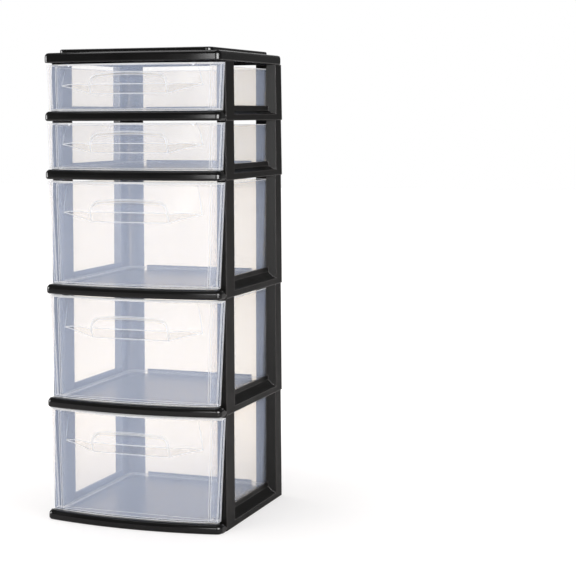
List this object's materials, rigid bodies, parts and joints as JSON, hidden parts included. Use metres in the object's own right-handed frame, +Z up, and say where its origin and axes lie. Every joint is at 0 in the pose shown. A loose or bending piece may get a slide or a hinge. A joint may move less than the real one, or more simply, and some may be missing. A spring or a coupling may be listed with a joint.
{
  "type": "plastic drawer tower",
  "caption": "Free-standing tower of clear sliding drawers, three deep and two shallow, in a stacked black frame with bowed lips and open side windows.",
  "frame": {"origin": "on the floor, in the middle of the tower's width and of its full depth", "axes": "+Z up, -Y towards the front, where the drawers open, +X to the right seen from the front"},
  "size_m": [0.31, 0.3294, 0.783],
  "materials": {
    "black_frame": "injection-moulded black polypropylene, satin",
    "clear_drawer": "injection-moulded clear polypropylene, smooth and slightly cloudy"
  },
  "bodies": {
    "tower_frame": {"deck_1": "black_frame", "side_frame_left_1": "black_frame", "side_frame_right_1": "black_frame", "deck_2": "black_frame", "side_frame_left_2": "black_frame", "side_frame_right_2": "black_frame", "deck_3": "black_frame", "side_frame_left_3": "black_frame", "side_frame_right_3": "black_frame", "deck_4": "black_frame", "side_frame_left_4": "black_frame", "side_frame_right_4": "black_frame", "deck_5": "black_frame", "side_frame_left_5": "black_frame", "side_frame_right_5": "black_frame", "top_cover": "black_frame"},
    "drawer_1_body": {"drawer_1": "clear_drawer"},
    "drawer_2_body": {"drawer_2": "clear_drawer"},
    "drawer_3_body": {"drawer_3": "clear_drawer"},
    "drawer_4_body": {"drawer_4": "clear_drawer"},
    "drawer_5_body": {"drawer_5": "clear_drawer"}
  },
  "joints": [
    {"name": "drawer_1_slide", "type": "slide", "parent": "tower_frame", "child": "drawer_1_body", "axis": [0, -1, 0], "range_m": [0, 0.215]},
    {"name": "drawer_2_slide", "type": "slide", "parent": "tower_frame", "child": "drawer_2_body", "axis": [0, -1, 0], "range_m": [0, 0.215]},
    {"name": "drawer_3_slide", "type": "slide", "parent": "tower_frame", "child": "drawer_3_body", "axis": [0, -1, 0], "range_m": [0, 0.215]},
    {"name": "drawer_4_slide", "type": "slide", "parent": "tower_frame", "child": "drawer_4_body", "axis": [0, -1, 0], "range_m": [0, 0.215]},
    {"name": "drawer_5_slide", "type": "slide", "parent": "tower_frame", "child": "drawer_5_body", "axis": [0, -1, 0], "range_m": [0, 0.215]}
  ]
}
